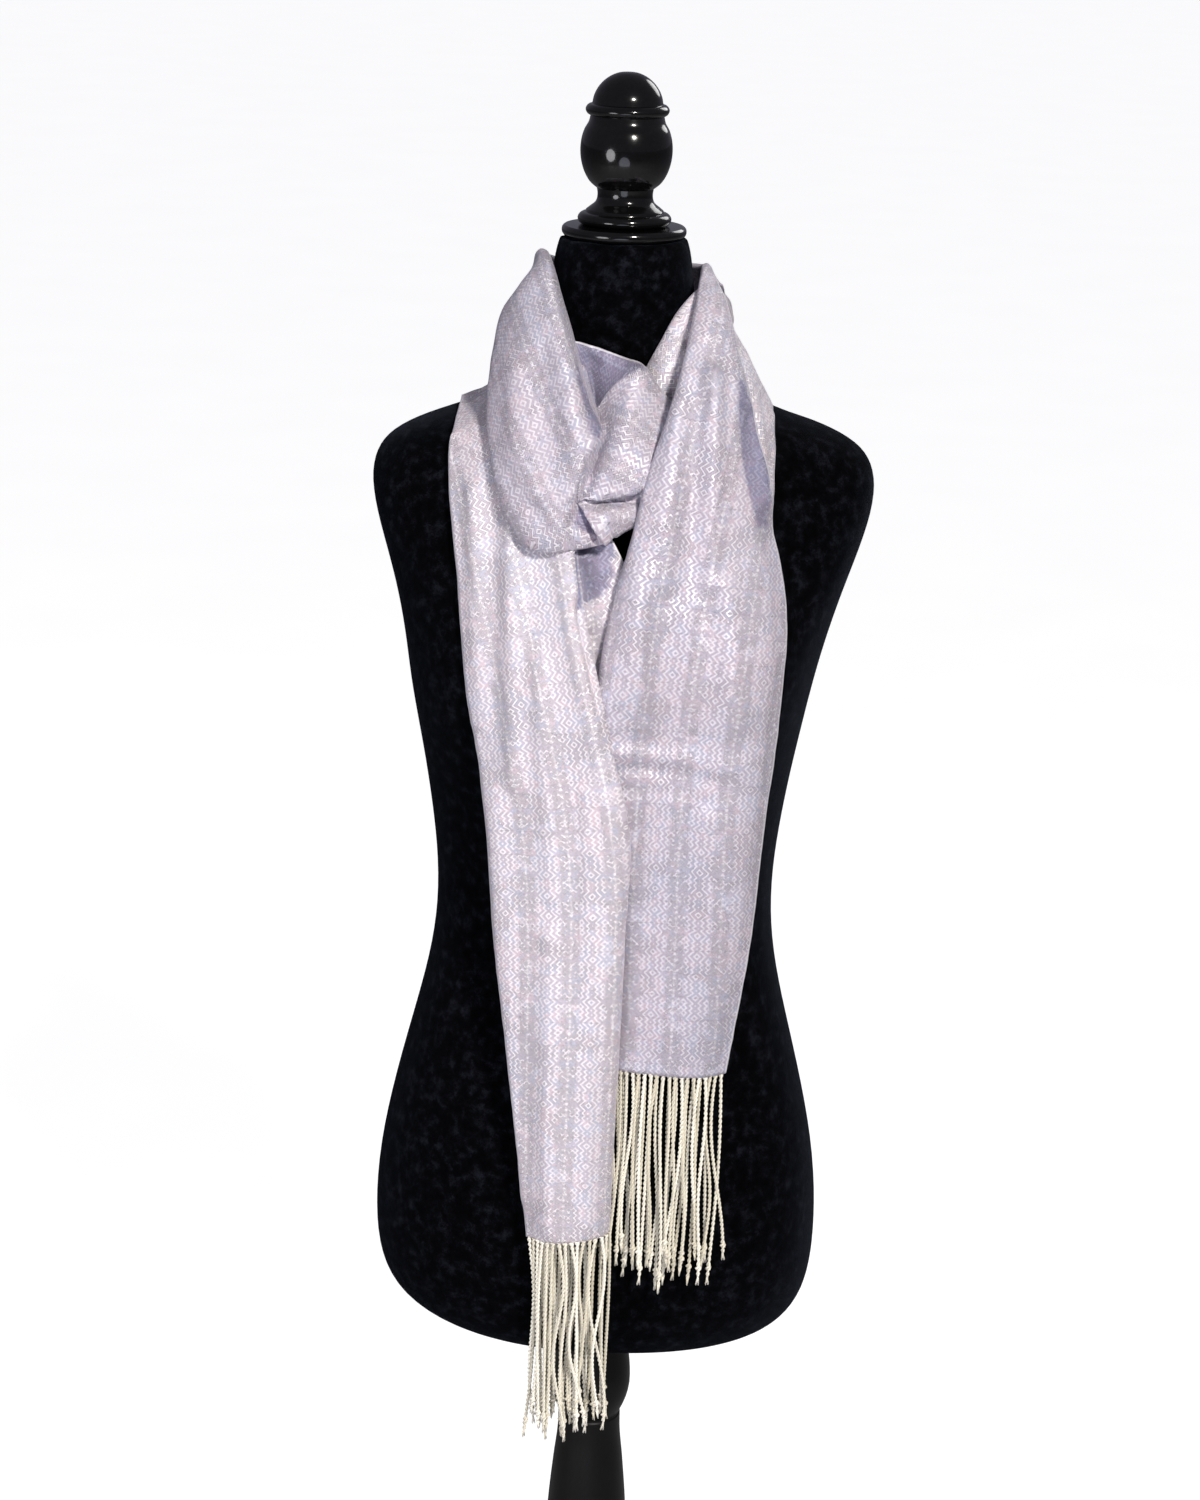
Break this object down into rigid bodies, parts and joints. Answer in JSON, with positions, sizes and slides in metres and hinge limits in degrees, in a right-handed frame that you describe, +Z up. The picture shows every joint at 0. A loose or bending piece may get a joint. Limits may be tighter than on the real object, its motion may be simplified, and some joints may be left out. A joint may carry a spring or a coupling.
{
  "type": "dress form with neck scarf",
  "caption": "Limbless dress form on a turned stand, wearing a long woven scarf wound once round the neck, with both fringed tails hanging in front.",
  "frame": {"origin": "centre of the stand's base on the floor, on the pole's axis", "axes": "+Z up along the pole, the form faces -Y, +X to the viewer's right"},
  "size_m": [0.38, 0.38, 1.523],
  "materials": {
    "velvet": "black velvet",
    "gloss_black": "turned and lacquered gloss black",
    "satin_black": "turned and painted satin black",
    "woven_cloth": "hand-woven diamond twill, white on lavender",
    "fringe_yarn": "twisted two-ply yarn, knotted at the ends"
  },
  "bodies": {
    "root": {"form_torso": "velvet", "neck_cap": "gloss_black", "stand_column": "satin_black", "stand_base": "satin_black", "left_tail": "woven_cloth", "neck_turn_inner": "woven_cloth", "right_shoulder_band": "woven_cloth", "front_loop": "woven_cloth", "neck_turn_outer": "woven_cloth", "right_tail": "woven_cloth", "left_fringe": "fringe_yarn", "right_fringe": "fringe_yarn"}
  },
  "joints": []
}
